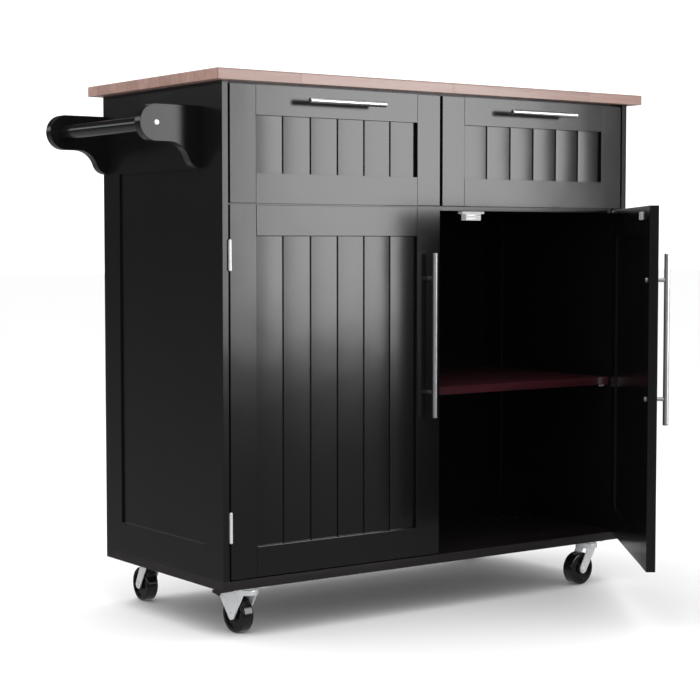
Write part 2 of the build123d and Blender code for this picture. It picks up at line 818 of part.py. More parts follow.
slide_start = front_back + board_gap
cabinet_rails = []
member_depth = slide_space - slide_sheet - slide_clearance
for side, hand in hands.items():
    middle_x = hand * (front_gap_middle + front_width) / 2
    handle_level = drawer_top - drawer_bar_drop
    handle = bar_handle(
        (middle_x, handle_level), (1, 0, 0), drawer_bar_length, drawer_bar_posts, drawer_bar_reach
    )
    holes = [(middle_x + step * drawer_bar_posts / 2, handle_level) for step in (-1, 1)]
    drawer = make_front(
        f"drawer_{side}", hand, drawer_bottom, drawer_front_height, drawer_rail, handle, holes, hinged=False
    )
    low_x, high_x = sorted((hand * box_inner, hand * box_outer))
    box_back = front_back + box_depth
    walls = [
        board((low_x, front_back, box_bottom), (low_x + box_wall, box_back, box_top)),
        board((high_x - box_wall, front_back, box_bottom), (high_x, box_back, box_top)),
        board(
            (low_x + box_wall, front_back, box_bottom), (high_x - box_wall, front_back + box_wall, box_top)
        ),
        board((low_x + box_wall, box_back - box_wall, box_bottom), (high_x - box_wall, box_back, box_top)),
    ]
    floor = board(
        (
            low_x + box_wall - box_floor_tongue,
            front_back + box_wall - box_floor_tongue,
            box_bottom + box_floor_lift,
        ),
        (
            high_x - box_wall + box_floor_tongue,
            box_back - box_wall + box_floor_tongue,
            box_bottom + box_floor_lift + box_floor,
        ),
    )
    grooved = []
    for wall in walls:
        with BuildPart() as grooved_wall:
            add(wall)
            add(floor, mode=Mode.SUBTRACT)
        grooved.append(grooved_wall.part)
    drawer[f"drawer_{side}_box"] = group(*grooved)
    drawer[f"drawer_{side}_bottom"] = floor
    rails = [
        slide_channel(-hand, hand * box_inner, slide_member_height, member_depth, slide_start),
        slide_channel(hand, hand * box_outer, slide_member_height, member_depth, slide_start),
    ]
    drawer[f"drawer_{side}_slides"] = group(*rails)
    cabinet_rails += [
        slide_channel(hand, hand * divider_thickness / 2, slide_height, member_depth, slide_start),
        slide_channel(-hand, hand * inner_half, slide_height, member_depth, slide_start),
    ]
    for name, shape in drawer.items():
        keep(shape, name)
keep(group(*cabinet_rails), "slide_cabinet_rails")

# ---- Casters ------------------------------------------------------------------------------------
plates = []
screws = []
for name, (pivot_x, pivot_y) in casters.items():
    heading = caster_headings[name]
    with BuildPart() as plate:
        with BuildSketch(Plane.XY.offset(plate_bottom)):
            with Locations((pivot_x, pivot_y)):
                RectangleRounded(plate_width, plate_depth, plate_corner)
                with GridLocations(caster_screw_across, caster_screw_along, 2, 2):
                    Circle(caster_screw_radius, mode=Mode.SUBTRACT)
        extrude(amount=plate_sheet)
        with BuildSketch(Plane.XY.offset(plate_bottom)):
            with Locations((pivot_x, pivot_y)):
                Circle(race_radius)
        extrude(amount=-race_height)
        with BuildSketch(Plane.XY.offset(crown_top + crown_gap)):
            with Locations((pivot_x, pivot_y)):
                Circle(kingpin_radius)
        extrude(amount=-crown_gap - crown_height - kingpin_head_gap)
        with BuildSketch(Plane.XY.offset(crown_bottom - kingpin_head_gap)):
            with Locations((pivot_x, pivot_y)):
                Circle(kingpin_head_radius)
        extrude(amount=-kingpin_head_height)
    plates.append(plate.part)
    for across in (-1, 1):
        for along in (-1, 1):
            seat = (
                pivot_x + across * caster_screw_across / 2,
                pivot_y + along * caster_screw_along / 2,
                plate_bottom,
            )
            screws.append(
                headed_screw(
                    seat,
                    (0, 0, 1),
                    caster_screw_radius,
                    caster_screw_length,
                    caster_screw_head,
                    caster_screw_head_height,
                )
            )

    trail = Vector(cos(radians(heading)), sin(radians(heading)), 0)
    across_wheel = Vector(-sin(radians(heading)), cos(radians(heading)), 0)
    upright = Plane(origin=(pivot_x, pivot_y, 0), x_dir=trail, z_dir=-across_wheel)
    axle_plane = Plane(
        origin=upright.from_local_coords((caster_trail, axle_level, 0)), x_dir=trail, z_dir=-across_wheel
    )
    pedal_x = caster_trail + pedal_pivot_out
    pin_plane = Plane(
        origin=upright.from_local_coords((pedal_x, pedal_pivot_level, 0)), x_dir=trail, z_dir=-across_wheel
    )
    cheek_out = fork_gap / 2 + fork_sheet
    with BuildPart() as fork:
        with BuildSketch(Plane.XY.offset(crown_bottom)):
            with Locations((pivot_x, pivot_y)):
                Circle(crown_radius)
        extrude(amount=crown_height)
        fillet(fork.faces().sort_by(Axis.Z)[-1].edges(), crown_height / 4)
        for side in (-1, 1):
            start = fork_gap / 2 if side > 0 else -cheek_out
            with BuildSketch(upright.offset(start)):
                with Locations((caster_trail, axle_level)):
                    Circle(fork_foot_radius)
                with Locations((0, crown_bottom + crown_height / 4)):
                    Rectangle(crown_radius, crown_height / 2)
                if name in braked:
                    with Locations((pedal_x, pedal_pivot_level)):
                        Circle(pedal_ear_radius)
                make_hull()
            extrude(amount=fork_sheet)
        with BuildSketch(Plane.XY.offset(crown_bottom)):
            with Locations((pivot_x, pivot_y)):
                Circle(kingpin_radius + kingpin_clearance)
        extrude(amount=crown_height, mode=Mode.SUBTRACT)
        with BuildSketch(axle_plane):
            Circle(axle_radius)
        extrude(amount=cheek_out, both=True, mode=Mode.SUBTRACT)
        if name in braked:
            with BuildSketch(pin_plane):
                Circle(pedal_pin_radius)
            extrude(amount=cheek_out, both=True, mode=Mode.SUBTRACT)
    with BuildPart() as axle:
        with BuildSketch(axle_plane):
            Circle(axle_radius)
        extrude(amount=cheek_out, both=True)
        for side in (-1, 1):
            with BuildSketch(axle_plane.offset(side * cheek_out)):
                Circle(axle_head_radius)
            extrude(amount=side * axle_head_height)
        line = Axis(axle_plane.origin, axle_plane.z_dir)
        ends = axle.faces().filter_by(line).sort_by(line)
        chamfer(ends[0].edges() + ends[-1].edges(), axle_head_height / 3)
    fork_pieces = [fork.part, axle.part]
    if name in braked:
        with BuildPart() as pedal_pin:
            with BuildSketch(pin_plane):
                Circle(pedal_pin_radius)
            extrude(amount=cheek_out, both=True)
            for side in (-1, 1):
                with BuildSketch(pin_plane.offset(side * cheek_out)):
                    Circle(pedal_pin_radius + pin_head_height)
                extrude(amount=side * pin_head_height)
        fork_pieces.append(pedal_pin.part)
        with BuildPart() as pedal:
            with BuildSketch(pin_plane):
                Circle(pedal_hub_radius)
                with Locations((pedal_reach, pedal_tip_lift)):
                    Circle(pedal_tip_radius)
                make_hull()
            extrude(amount=pedal_width / 2, both=True)
            with BuildSketch(pin_plane):
                Circle(pedal_pin_radius + pedal_pin_clearance)
            extrude(amount=pedal_width, both=True, mode=Mode.SUBTRACT)
        keep(pedal.part, f"caster_{name}_pedal")
    keep(group(*fork_pieces), f"caster_{name}_fork")

    with BuildPart() as wheel:
        with BuildSketch(axle_plane):
            Circle(wheel_diameter / 2)
        extrude(amount=wheel_width / 2, both=True)
        fillet(wheel.edges().filter_by(GeomType.CIRCLE), wheel_edge_radius)
        for side in (-1, 1):
            with BuildSketch(axle_plane.offset(side * wheel_width / 2)):
                Circle(wheel_diameter / 2 - wheel_rim)
            extrude(amount=-side * wheel_dish, mode=Mode.SUBTRACT)
        with BuildSketch(axle_plane):
            Circle(hub_radius)
        extrude(amount=hub_width / 2, both=True)
        with BuildSketch(axle_plane):
            Circle(axle_radius + axle_clearance)
        extrude(amount=hub_width, both=True, mode=Mode.SUBTRACT)
    keep(wheel.part, f"caster_{name}_wheel")
keep(group(*plates), "caster_plates")
keep(group(*screws), "caster_screws")
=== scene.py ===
"""Paint, wood, metal and small fittings for the kitchen island cart, and the studio it stands in."""

import json
import math

import bpy
from bpy.props import FloatProperty, FloatVectorProperty, PointerProperty
from bpy.types import NodeSocket, Operator, Panel, PropertyGroup
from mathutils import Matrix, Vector

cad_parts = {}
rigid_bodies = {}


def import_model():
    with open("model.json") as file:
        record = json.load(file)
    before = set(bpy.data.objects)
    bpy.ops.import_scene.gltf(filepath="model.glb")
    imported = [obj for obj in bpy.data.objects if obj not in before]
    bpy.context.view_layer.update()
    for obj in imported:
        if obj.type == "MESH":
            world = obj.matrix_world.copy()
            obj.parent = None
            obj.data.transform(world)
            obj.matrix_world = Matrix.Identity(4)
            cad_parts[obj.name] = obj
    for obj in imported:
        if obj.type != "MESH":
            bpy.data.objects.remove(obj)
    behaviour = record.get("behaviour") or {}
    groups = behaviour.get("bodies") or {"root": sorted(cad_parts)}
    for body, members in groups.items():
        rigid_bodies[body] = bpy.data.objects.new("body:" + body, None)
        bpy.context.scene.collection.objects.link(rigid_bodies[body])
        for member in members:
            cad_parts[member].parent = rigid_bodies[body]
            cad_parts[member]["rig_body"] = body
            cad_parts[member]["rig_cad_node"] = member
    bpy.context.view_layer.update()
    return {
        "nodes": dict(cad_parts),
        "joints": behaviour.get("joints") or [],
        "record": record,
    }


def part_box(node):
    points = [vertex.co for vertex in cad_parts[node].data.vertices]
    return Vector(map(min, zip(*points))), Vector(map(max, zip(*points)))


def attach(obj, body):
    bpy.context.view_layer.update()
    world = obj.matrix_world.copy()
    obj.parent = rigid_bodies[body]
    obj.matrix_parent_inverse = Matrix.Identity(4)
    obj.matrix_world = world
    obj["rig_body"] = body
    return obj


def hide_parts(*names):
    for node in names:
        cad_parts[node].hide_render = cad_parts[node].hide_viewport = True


bl_info = {
    "name": "Kitchen Island Cart",
    "version": (1, 0, 0),
    "blender": (4, 5, 0),
    "location": "View3D > Sidebar > Island Cart",
    "description": "Finishes and fittings for a rolling kitchen cabinet with a wooden worktop",
    "category": "Object",
}

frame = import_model()

BODIES = frame["record"]["behaviour"]["bodies"]
NODE_BODY = {node: body for body, nodes in BODIES.items() for node in nodes}
SIDES = ("left", "right")
CASTERS = ("front_left", "front_right", "back_left", "back_right")
BRAKED = tuple(name for name in CASTERS if f"pedal_{name}" in BODIES)
MM = 0.001

# Small fittings that are made here.
HINGE_HEIGHT = 50 * MM
PIN_TIP_RADIUS = 1.9 * MM
PIN_TIP_HEIGHT = 1.3 * MM
POLE_PLATE_SIZE = (31 * MM, 1.4 * MM, 1.5 * MM)
POLE_PLATE_OFFSET = 3.2 * MM
POLE_PLATE_SET_IN = 0.45 * MM
POLE_PLATE_EASE = 0.2 * MM
CATCH_SCREW_RADIUS = 2.8 * MM
CATCH_SCREW_HEIGHT = 1.5 * MM
CATCH_SCREW_OFFSET = 21.5 * MM
CATCH_FLANGE_THICKNESS = 4.5 * MM
RIB_SIZE = (1.8 * MM, 17 * MM, 1.6 * MM)
RIB_EASE = 0.5 * MM
RIB_REACHES = (14 * MM, 19 * MM, 24 * MM, 29 * MM)
RIB_RISE = 5.6 * MM
RIB_SLOPE = 0.0147
UPSIDE_DOWN = (math.pi, 0.0, 0.0)

# How CAD copies are cleaned and smoothed.
FLAT_ANGLE = math.radians(0.4)
EASED_ANGLE = math.radians(40)
SMOOTH_ANGLE = math.radians(35)

# Softboxes: place, target, width, and brightness as a share of the key glow.
SOFTBOX_HEIGHT = 2.12
SOFTBOXES = {
    "softbox_key": ((2.02, -2.96, 1.36), (-0.1, -0.2, 1.36), 1.15, 1.0),
    "softbox_shoulder": ((1.22, -3.44, 1.36), (-0.3, -0.2, 1.36), 0.78, 0.42),
}


# ---- Sizes and colours a user would change ------------------------------------------------------
class CartPaint(PropertyGroup):
    """The black lacquer of the case, the fronts and the towel bar."""

    colour: FloatVectorProperty(
        name="Lacquer",
        description="Colour of the lacquer",
        subtype="COLOR",
        default=(0.0036, 0.0036, 0.0040),
        min=0.0,
        max=1.0,
    )
    roughness: FloatProperty(
        name="Roughness",
        description="How far the lacquer spreads a reflection",
        subtype="FACTOR",
        default=0.175,
        min=0.0,
        max=1.0,
    )
    edge: FloatProperty(
        name="Edge radius",
        description="Rounding that sanding leaves along the edges of boards",
        subtype="DISTANCE",
        unit="LENGTH",
        default=0.0009,
        min=0.0,
    )


class CartWood(PropertyGroup):
    """The staves of the worktop and the dark boards inside the cabinet."""

    light: FloatVectorProperty(
        name="Light stave",
        description="Colour of the lightest staves",
        subtype="COLOR",
        default=(0.385, 0.250, 0.213),
        min=0.0,
        max=1.0,
    )
    dark: FloatVectorProperty(
        name="Dark stave",
        description="Colour of the darkest staves",
        subtype="COLOR",
        default=(0.205, 0.106, 0.085),
        min=0.0,
        max=1.0,
    )
    stave_width: FloatProperty(
        name="Stave width",
        description="Width of one stave of the worktop",
        subtype="DISTANCE",
        unit="LENGTH",
        default=0.038,
        min=0.005,
    )
    stave_length: FloatProperty(
        name="Stave length",
        description="Length of one stave of the worktop",
        subtype="DISTANCE",
        unit="LENGTH",
        default=0.33,
        min=0.05,
    )
    espresso: FloatVectorProperty(
        name="Espresso",
        description="Colour of the base board",
        subtype="COLOR",
        default=(0.011, 0.0085, 0.009),
        min=0.0,
        max=1.0,
    )
    shelf: FloatVectorProperty(
        name="Shelf",
        description="Colour of the shelf",
        subtype="COLOR",
        default=(0.045, 0.010, 0.014),
        min=0.0,
        max=1.0,
    )


class CartStudio(PropertyGroup):
    """Camera and lights."""

    camera_place: FloatVectorProperty(
        name="Camera place",
        description="Where the camera stands",
        subtype="TRANSLATION",
        unit="LENGTH",
        default=(-1.981, -2.687, 0.671),
    )
    camera_turn: FloatVectorProperty(
        name="Camera turn",
        description="How the camera is turned",
        subtype="EULER",
        unit="ROTATION",
        default=(math.radians(86.47), 0.0, math.radians(-35.66)),
    )
    lens: FloatProperty(
        name="Focal length",
        description="Focal length on a 36 mm sensor, in millimetres",
        default=90.09,
        min=10.0,
    )
    key_glow: FloatProperty(
        name="Key glow",
        description="Brightness of the tall softbox that the fronts mirror",
        default=7.6,
        min=0.0,
    )
    room_light: FloatProperty(
        name="Room light",
        description="Brightness of the white room around the cart",
        default=1.15,
        min=0.0,
    )
    overhead_power: FloatProperty(
        name="Overhead light",
        description="Power of the large overhead softbox, in watts",
        default=75.0,
        min=0.0,
    )


# ---- Shader building blocks ---------------------------------------------------------------------
def feed(tree, node, inputs):
    """Links or sets the inputs of a shader node."""
    for key, value in inputs.items():
        if isinstance(value, NodeSocket):
            tree.links.new(value, node.inputs[key])
        else:
            node.inputs[key].default_value = value
    return node


def wire(tree, kind, inputs=None, **settings):
    """Adds a shader node, sets its options, and fills or links its inputs."""
    made = tree.nodes.new(f"ShaderNode{kind}")
    for name, value in settings.items():
        setattr(made, name, value)
    return feed(tree, made, inputs or {})


def maths(tree, operation, *values):
    """A Math node's result."""
    return wire(tree, "Math", dict(enumerate(values)), operation=operation).outputs[0]


def blend_colours(tree, share, first, second):
    """A colour part of the way from first to second."""
    mixed = wire(tree, "Mix", data_type="RGBA")
    for index, value in ((0, share), (6, first), (7, second)):
        if isinstance(value, NodeSocket):
            tree.links.new(value, mixed.inputs[index])
        else:
            mixed.inputs[index].default_value = (*value, 1.0) if index else value
    return mixed.outputs[2]


def spread(tree, value, low, high):
    """A value from 0 to 1 brought to the range from low to high."""
    return remap(tree, value, (0.0, 1.0), (low, high))


def remap(tree, value, given, wanted=(0.0, 1.0)):
    """A value brought from one range to another, and kept within it."""
    ends = {"From Min": given[0], "From Max": given[1], "To Min": wanted[0], "To Max": wanted[1]}
    return wire(tree, "MapRange", {"Value": value, **ends}).outputs[0]


def start_group(name, inputs, outputs):
    """An empty node group with named sockets, its input node and its output node."""
    group = bpy.data.node_groups.new(name, "ShaderNodeTree")
    for label, kind, default in inputs:
        socket = group.interface.new_socket(label, in_out="INPUT", socket_type=f"NodeSocket{kind}")
        if default is not None:
            socket.default_value = default
    for label, kind in outputs:
        group.interface.new_socket(label, in_out="OUTPUT", socket_type=f"NodeSocket{kind}")
    return group, group.nodes.new("NodeGroupInput").outputs, group.nodes.new("NodeGroupOutput").inputs


def finish_group(group, sockets, results):
    """Links the results to the group's outputs."""
    for label, value in results.items():
        group.links.new(value, sockets[label])
    return group


def grain_group():
    """Long wavy streaks and short pores that run along the first axis of the vector."""
    group, given, out = start_group(
        "Wood grain",
        [("Vector", "Vector", None), ("Along", "Float", 2.0), ("Across", "Float", 60.0)],
        [("Streaks", "Float"), ("Pores", "Float")],
    )
    stretch = wire(group, "CombineXYZ", {0: given["Along"], 1: given["Across"], 2: given["Across"]})
    place = wire(
        group, "VectorMath", {0: given["Vector"], 1: stretch.outputs[0]}, operation="MULTIPLY"
    ).outputs[0]
    streaks = wire(group, "TexNoise", {"Vector": place, "Scale": 1.0, "Detail": 7.0, "Roughness": 0.62,
                                       "Distortion": 0.6})
    pores = wire(group, "TexNoise", {"Vector": place, "Scale": 9.0, "Detail": 2.0, "Roughness": 0.5})
    dots = remap(group, pores.outputs[0], (0.56, 0.72))
    return finish_group(group, out, {"Streaks": streaks.outputs[0], "Pores": dots})


def stave_group():
    """Staves glued side by side and end to end: a tone for each one, and the joints between them."""
    group, given, out = start_group(
        "Glued staves",
        [
            ("Vector", "Vector", None),
            ("Width", "Float", 0.04),
            ("Length", "Float", 0.4),
            ("Joint", "Float", 0.0006),
        ],
        [("Tone", "Float"), ("Joints", "Float"), ("Shifted", "Vector")],
    )
    parts = wire(group, "SeparateXYZ", {0: given["Vector"]}).outputs
    across = maths(group, "DIVIDE", parts["Y"], given["Width"])
    row = maths(group, "FLOOR", across)
    stagger = wire(group, "TexWhiteNoise", {"W": row}, noise_dimensions="1D").outputs["Value"]
    along = maths(group, "ADD", maths(group, "DIVIDE", parts["X"], given["Length"]),
                  maths(group, "MULTIPLY", stagger, 3.0))
    column = maths(group, "FLOOR", along)
    cell = wire(group, "CombineXYZ", {0: row, 1: column}).outputs[0]
    tone = wire(group, "TexWhiteNoise", {"Vector": cell}, noise_dimensions="2D").outputs
    edge_across = maths(group, "MULTIPLY", maths(group, "PINGPONG", across, 0.5), given["Width"])
    edge_along = maths(group, "MULTIPLY", maths(group, "PINGPONG", along, 0.5), given["Length"])
    nearest = maths(group, "MINIMUM", edge_across, edge_along)
    per_metre = maths(group, "DIVIDE", 1.0, given["Joint"])
    joints = maths(group, "SUBTRACT", 1.0, maths(group, "MULTIPLY", nearest, per_metre))
    clear = wire(group, "Clamp", {"Value": joints}).outputs[0]
    jump = wire(group, "VectorMath", {0: tone["Color"], "Scale": 4.0}, operation="SCALE").outputs[0]
    shifted = wire(group, "VectorMath", {0: given["Vector"], 1: jump}, operation="ADD").outputs[0]
    return finish_group(group, out, {"Tone": tone["Value"], "Joints": clear, "Shifted": shifted})


def handling_group():
    """Faint cloudy marks from wiping and handling, for roughness."""
    group, given, out = start_group(
        "Handling marks", [("Vector", "Vector", None), ("Size", "Float", 9.0)], [("Marks", "Float")]
    )
    cloud = wire(group, "TexNoise", {"Vector": given["Vector"], "Scale": given["Size"], "Detail": 3.0})
    fine = wire(group, "TexNoise", {"Vector": given["Vector"], "Scale": 160.0, "Detail": 2.0})
    marks = maths(group, "ADD", maths(group, "MULTIPLY", cloud.outputs[0], 0.75),
                  maths(group, "MULTIPLY", fine.outputs[0], 0.25))
    return finish_group(group, out, {"Marks": marks})


def brushed_group():
    """Fine scratches that run along the first axis of the vector."""
    group, given, out = start_group(
        "Brushed lines", [("Vector", "Vector", None), ("Fineness", "Float", 2500.0)], [("Lines", "Float")]
    )
    squeeze = wire(group, "CombineXYZ", {0: 14.0, 1: given["Fineness"], 2: given["Fineness"]})
    place = wire(
        group, "VectorMath", {0: given["Vector"], 1: squeeze.outputs[0]}, operation="MULTIPLY"
    ).outputs[0]
    lines = wire(group, "TexNoise", {"Vector": place, "Scale": 1.0, "Detail": 3.0, "Roughness": 0.7})
    return finish_group(group, out, {"Lines": lines.outputs[0]})


GROUPS = {"grain": grain_group, "staves": stave_group, "marks": handling_group, "brushed": brushed_group}


def use_group(tree, name, inputs):
    """Places a shared node group, which is built the first time that it is asked for."""
    made = wire(tree, "Group")
    label = f"cart_{name}"
    if label not in bpy.data.node_groups:
        GROUPS[name]().name = label
    made.node_tree = bpy.data.node_groups[label]
    return feed(tree, made, inputs).outputs


def place_along(tree, axis, turn=0.0):
    """Object coordinates with the chosen axis first, after a turn about Z."""
    place = wire(tree, "TexCoord").outputs["Object"]
    if turn:
        place = wire(tree, "Mapping", {"Vector": place, "Rotation": (0.0, 0.0, -turn)}).outputs[0]
    order = {"X": "XYZ", "Y": "YZX", "Z": "ZXY"}[axis]
    parts = wire(tree, "SeparateXYZ", {0: place}).outputs
    return wire(tree, "CombineXYZ", {index: parts[name] for index, name in enumerate(order)}).outputs[0]


def start_finish(name, **fixed):
    """A new material and its Principled shader, with the sockets that are the same all over."""
    material = bpy.data.materials.new(name)
    material.use_nodes = True
    tree = material.node_tree
    shader = tree.nodes["Principled BSDF"]
    for key, value in fixed.items():
        shader.inputs[key.replace("_", " ")].default_value = value
    return material, tree, shader.inputs


def bump(tree, height, distance, **under):
    """A normal from a height, which may lie over another normal."""
    return wire(tree, "Bump", {"Height": height, "Distance": distance, "Strength": 1.0, **under}).outputs[0]


# ---- Finishes -----------------------------------------------------------------------------------
def lacquer(name, axis, turn=0.0):
    """Black lacquer over wood: grain barely shows through, under a fine orange peel."""
    paint = bpy.context.scene.cart_paint
    material, tree, shader = start_finish(name, IOR=1.5, Specular_IOR_Level=0.5)
    place = place_along(tree, axis, turn)
    grain = use_group(tree, "grain", {"Vector": place, "Along": 3.0, "Across": 90.0})
    marks = use_group(tree, "marks", {"Vector": place, "Size": 6.0})["Marks"]
    deep = tuple(paint.colour)
    pale = tuple(channel * 1.7 for channel in deep)
    tree.links.new(blend_colours(tree, grain["Streaks"], deep, pale), shader["Base Color"])
    tree.links.new(spread(tree, marks, paint.roughness - 0.03, paint.roughness + 0.03), shader["Roughness"])
    peel = wire(tree, "TexNoise", {"Vector": place, "Scale": 420.0, "Detail": 1.0}).outputs[0]
    streaks = maths(tree, "MULTIPLY", grain["Streaks"], 0.8)
    height = maths(tree, "ADD", streaks, maths(tree, "MULTIPLY", peel, 0.2))
    slow = {"Vector": place, "Scale": 11.0, "Detail": 1.0, "Roughness": 0.3}
    waves = bump(tree, wire(tree, "TexNoise", slow).outputs[0], 0.00045)
    tree.links.new(bump(tree, height, 0.00003, Normal=waves), shader["Normal"])
    return material


def butcher_block():
    """Pinkish staves under a satin varnish."""
    wood = bpy.context.scene.cart_wood
    material, tree, shader = start_finish("butcher_block", IOR=1.48, Coat_IOR=1.5)
    place = wire(tree, "TexCoord").outputs["Object"]
    staves = use_group(
        tree, "staves", {"Vector": place, "Width": wood.stave_width, "Length": wood.stave_length}
    )
    grain = use_group(tree, "grain", {"Vector": staves["Shifted"], "Along": 3.5, "Across": 75.0})
    middle = tuple((a + b) / 2 for a, b in zip(wood.light, wood.dark))
    base = blend_colours(tree, staves["Tone"], middle, tuple(wood.light))
    contrast = remap(tree, grain["Streaks"], (0.35, 0.75))
    streaked = blend_colours(tree, maths(tree, "MULTIPLY", contrast, 0.55), base, tuple(wood.dark))
    pored = blend_colours(tree, maths(tree, "MULTIPLY", grain["Pores"], 0.25), streaked, (0.16, 0.07, 0.05))
    jointed = blend_colours(tree, maths(tree, "MULTIPLY", staves["Joints"], 0.6), pored, (0.12, 0.05, 0.035))
    tree.links.new(jointed, shader["Base Color"])
    tree.links.new(spread(tree, grain["Streaks"], 0.17, 0.3), shader["Roughness"])
    height = maths(tree, "SUBTRACT", maths(tree, "MULTIPLY", grain["Streaks"], 0.5), staves["Joints"])
    tree.links.new(bump(tree, height, 0.00025), shader["Normal"])
    return material


def stained(name, axis, colour, roughness):
    """Stained wood with its grain showing."""
    material, tree, shader = start_finish(name, IOR=1.5)
    place = place_along(tree, axis)
    grain = use_group(tree, "grain", {"Vector": place, "Along": 2.2, "Across": 55.0})
    marks = use_group(tree, "marks", {"Vector": place, "Size": 5.0})["Marks"]
    light = tuple(channel * 1.5 for channel in colour)
    dark = tuple(channel * 0.55 for channel in colour)
    contrast = wire(tree, "MapRange", {"Value": grain["Streaks"], "From Min": 0.3, "From Max": 0.7})
    streaked = blend_colours(tree, contrast.outputs[0], light, dark)
    pores = maths(tree, "MULTIPLY", grain["Pores"], 0.4)
    tree.links.new(blend_colours(tree, pores, streaked, dark), shader["Base Color"])
    tree.links.new(spread(tree, marks, roughness - 0.06, roughness + 0.08), shader["Roughness"])
    tree.links.new(bump(tree, grain["Streaks"], 0.0003), shader["Normal"])
    return material


def brushed_metal(name, axis, colour, roughness, turn=0.0):
    """Steel with fine lines along its length."""
    material, tree, shader = start_finish(name, Metallic=1.0)
    place = place_along(tree, axis, turn)
    lines = use_group(tree, "brushed", {"Vector": place})["Lines"]
    marks = use_group(tree, "marks", {"Vector": place, "Size": 14.0})["Marks"]
    shade = tuple(channel * 0.86 for channel in colour)
    tree.links.new(blend_colours(tree, lines, shade, colour), shader["Base Color"])
    both = maths(tree, "ADD", maths(tree, "MULTIPLY", lines, 0.7), maths(tree, "MULTIPLY", marks, 0.3))
    tree.links.new(spread(tree, both, roughness - 0.08, roughness + 0.12), shader["Roughness"])
    tree.links.new(bump(tree, lines, 0.00004), shader["Normal"])
    return material


def plated_metal(name, colour, roughness, bareness=1.0, pitting=0.00003):
    """Bright plated steel with a faint cloudy bloom; a low bareness gives the pale bloom of new zinc."""
    material, tree, shader = start_finish(name, Metallic=bareness)
    place = wire(tree, "TexCoord").outputs["Object"]
    marks = use_group(tree, "marks", {"Vector": place, "Size": 55.0})["Marks"]
    shade = tuple(channel * 0.8 for channel in colour)
    tree.links.new(blend_colours(tree, marks, shade, colour), shader["Base Color"])
    tree.links.new(spread(tree, marks, roughness - 0.08, roughness + 0.14), shader["Roughness"])
    pits = wire(tree, "TexNoise", {"Vector": place, "Scale": 900.0, "Detail": 1.0}).outputs[0]
    tree.links.new(bump(tree, pits, pitting), shader["Normal"])
    return material


def moulded_plastic(name, colour, roughness, pebble=0.00004):
    """Moulded plastic with a faint pebble and scuffs."""
    material, tree, shader = start_finish(name, IOR=1.49)
    place = wire(tree, "TexCoord").outputs["Object"]
    marks = use_group(tree, "marks", {"Vector": place, "Size": 40.0})["Marks"]
    shade = tuple(channel * 0.82 for channel in colour)
    tree.links.new(blend_colours(tree, marks, shade, colour), shader["Base Color"])
    tree.links.new(spread(tree, marks, roughness - 0.06, roughness + 0.12), shader["Roughness"])
    pebbles = wire(tree, "TexNoise", {"Vector": place, "Scale": 1200.0, "Detail": 1.0}).outputs[0]
    tree.links.new(bump(tree, pebbles, pebble), shader["Normal"])
    return material


def open_door_angle():
    """How far the right door stands open: its hinge can close by that much."""
    return math.radians(-joint_named("door_right_hinge")["range_deg"][0])


FINISHES = {
    "lacquer_upright": lambda: lacquer("lacquer_upright", "Z"),
    "lacquer_crossways": lambda: lacquer("lacquer_crossways", "X"),
    "lacquer_deep": lambda: lacquer("lacquer_deep", "Y"),
    "lacquer_open_rails": lambda: lacquer("lacquer_open_rails", "X", open_door_angle()),
    "butcher_block": butcher_block,
    "espresso": lambda: stained("espresso", "X", tuple(bpy.context.scene.cart_wood.espresso), 0.24),
    "espresso_shelf": lambda: stained("espresso_shelf", "X", tuple(bpy.context.scene.cart_wood.shelf), 0.3),
    "drawer_wood": lambda: stained("drawer_wood", "X", (0.58, 0.41, 0.25), 0.5),
    "drawer_wood_deep": lambda: stained("drawer_wood_deep", "Y", (0.58, 0.41, 0.25), 0.5),
    "dowel_wood": lambda: stained("dowel_wood", "X", (0.62, 0.45, 0.28), 0.6),
    "brushed_upright": lambda: brushed_metal("brushed_upright", "Z", (0.78, 0.78, 0.79), 0.3),
    "brushed_crossways": lambda: brushed_metal("brushed_crossways", "X", (0.78, 0.78, 0.79), 0.3),
    "brushed_slides": lambda: brushed_metal("brushed_slides", "Y", (0.62, 0.63, 0.65), 0.34),
    "zinc": lambda: plated_metal("zinc", (0.92, 0.93, 0.95), 0.2, 0.4, 0.00001),
    "dark_steel": lambda: plated_metal("dark_steel", (0.22, 0.22, 0.23), 0.35),
    "white_plastic": lambda: moulded_plastic("white_plastic", (0.84, 0.84, 0.82), 0.42),
    "wheel_black": lambda: moulded_plastic("wheel_black", (0.006, 0.006, 0.0065), 0.14),
    "pedal_black": lambda: moulded_plastic("pedal_black", (0.016, 0.016, 0.017), 0.38, 0.00008),
}


def finish(name):
    """The named finish, made the first time that it is asked for."""
    if name not in bpy.data.materials:
        FINISHES[name]()
    return bpy.data.materials[name]


# ---- Working on pieces --------------------------------------------------------------------------
def only(*objects):
    """Selects these objects and nothing else, and makes the first one active."""
    bpy.ops.object.select_all(action="DESELECT")
    for item in objects:
        item.select_set(True)
    bpy.context.view_layer.objects.active = objects[0]


def apply_modifier(piece, kind, **settings):
    """Adds a modifier, sets it and applies it."""
    only(piece)
    bpy.ops.object.modifier_add(type=kind)
    modifier = piece.modifiers[-1]
    for name, value in settings.items():
        setattr(modifier, name, value)
    bpy.ops.object.modifier_apply(modifier=modifier.name)


def dress(piece, name):
    """Gives a piece one finish."""
    piece.data.materials.clear()
    piece.data.materials.append(finish(name))


